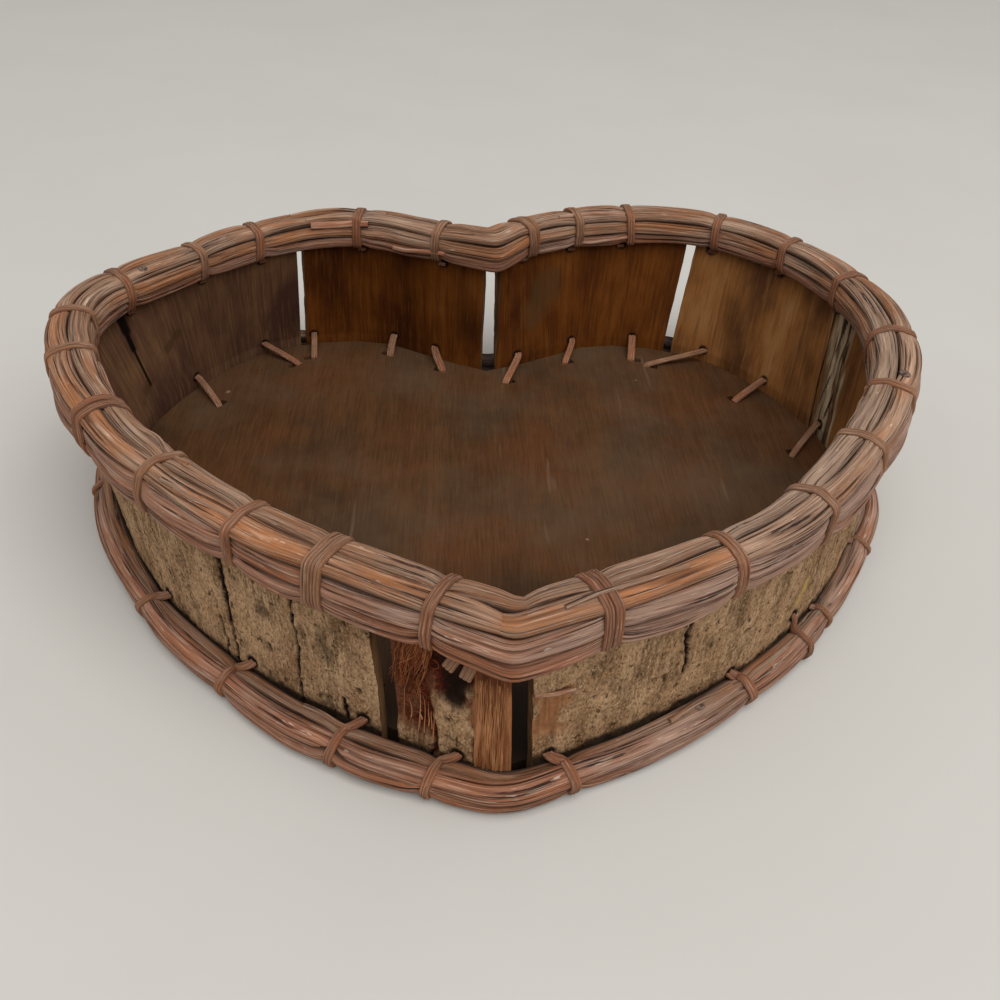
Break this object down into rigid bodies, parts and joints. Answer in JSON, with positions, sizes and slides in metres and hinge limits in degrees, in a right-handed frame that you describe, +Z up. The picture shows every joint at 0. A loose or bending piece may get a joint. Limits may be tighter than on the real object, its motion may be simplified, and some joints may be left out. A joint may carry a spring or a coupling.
{
  "type": "bark basket",
  "caption": "Heart-shaped basket with a sawn board base, upright bark panels and bundled split-rod rim and foot, sewn together with flat cane ties.",
  "frame": {"origin": "middle of the basket's footprint, on the surface it stands on", "axes": "+Z up; -Y towards the tip of the heart, so the cleft is on the +Y side; +X to the right as seen from the tip"},
  "size_m": [0.3298, 0.2948, 0.0797],
  "materials": {
    "bark": "rough raw bark",
    "board": "stained, worn matt",
    "rod": "weathered raw wood",
    "tie": "satin split cane"
  },
  "bodies": {
    "root": {"heart_board": "board", "bark_panel_back_right": "bark", "bark_panel_right_back": "bark", "bark_panel_right_front": "bark", "bark_panel_tip": "bark", "bark_panel_left_front": "bark", "bark_panel_left_back": "bark", "bark_panel_back_left": "bark", "rim_rod_outer_lower": "rod", "rim_rod_outer_upper": "rod", "rim_rod_inner_lower": "rod", "rim_rod_inner_upper": "rod", "rim_rod_cap_outer": "rod", "rim_rod_cap_inner": "rod", "foot_rod_lower": "rod", "foot_rod_upper": "rod", "rim_tie_right_1": "tie", "rim_tie_right_2": "tie", "rim_tie_right_3": "tie", "rim_tie_right_4": "tie", "rim_tie_right_5": "tie", "rim_tie_right_6": "tie", "rim_tie_right_7": "tie", "rim_tie_right_8": "tie", "rim_tie_right_9": "tie", "rim_tie_right_10": "tie", "rim_tie_right_11": "tie", "rim_tie_right_12": "tie", "rim_tie_left_1": "tie", "rim_tie_left_2": "tie", "rim_tie_left_3": "tie", "rim_tie_left_4": "tie", "rim_tie_left_5": "tie", "rim_tie_left_6": "tie", "rim_tie_left_7": "tie", "rim_tie_left_8": "tie", "rim_tie_left_9": "tie", "rim_tie_left_10": "tie", "rim_tie_left_11": "tie", "rim_tie_left_12": "tie", "foot_tie_right_1": "tie", "foot_tie_right_2": "tie", "foot_tie_right_3": "tie", "foot_tie_right_4": "tie", "foot_tie_right_5": "tie", "foot_tie_right_6": "tie", "foot_tie_right_7": "tie", "foot_tie_right_8": "tie", "foot_tie_right_9": "tie", "foot_tie_right_10": "tie", "foot_tie_left_1": "tie", "foot_tie_left_2": "tie", "foot_tie_left_3": "tie", "foot_tie_left_4": "tie", "foot_tie_left_5": "tie", "foot_tie_left_6": "tie", "foot_tie_left_7": "tie", "foot_tie_left_8": "tie", "foot_tie_left_9": "tie", "foot_tie_left_10": "tie"}
  },
  "joints": []
}
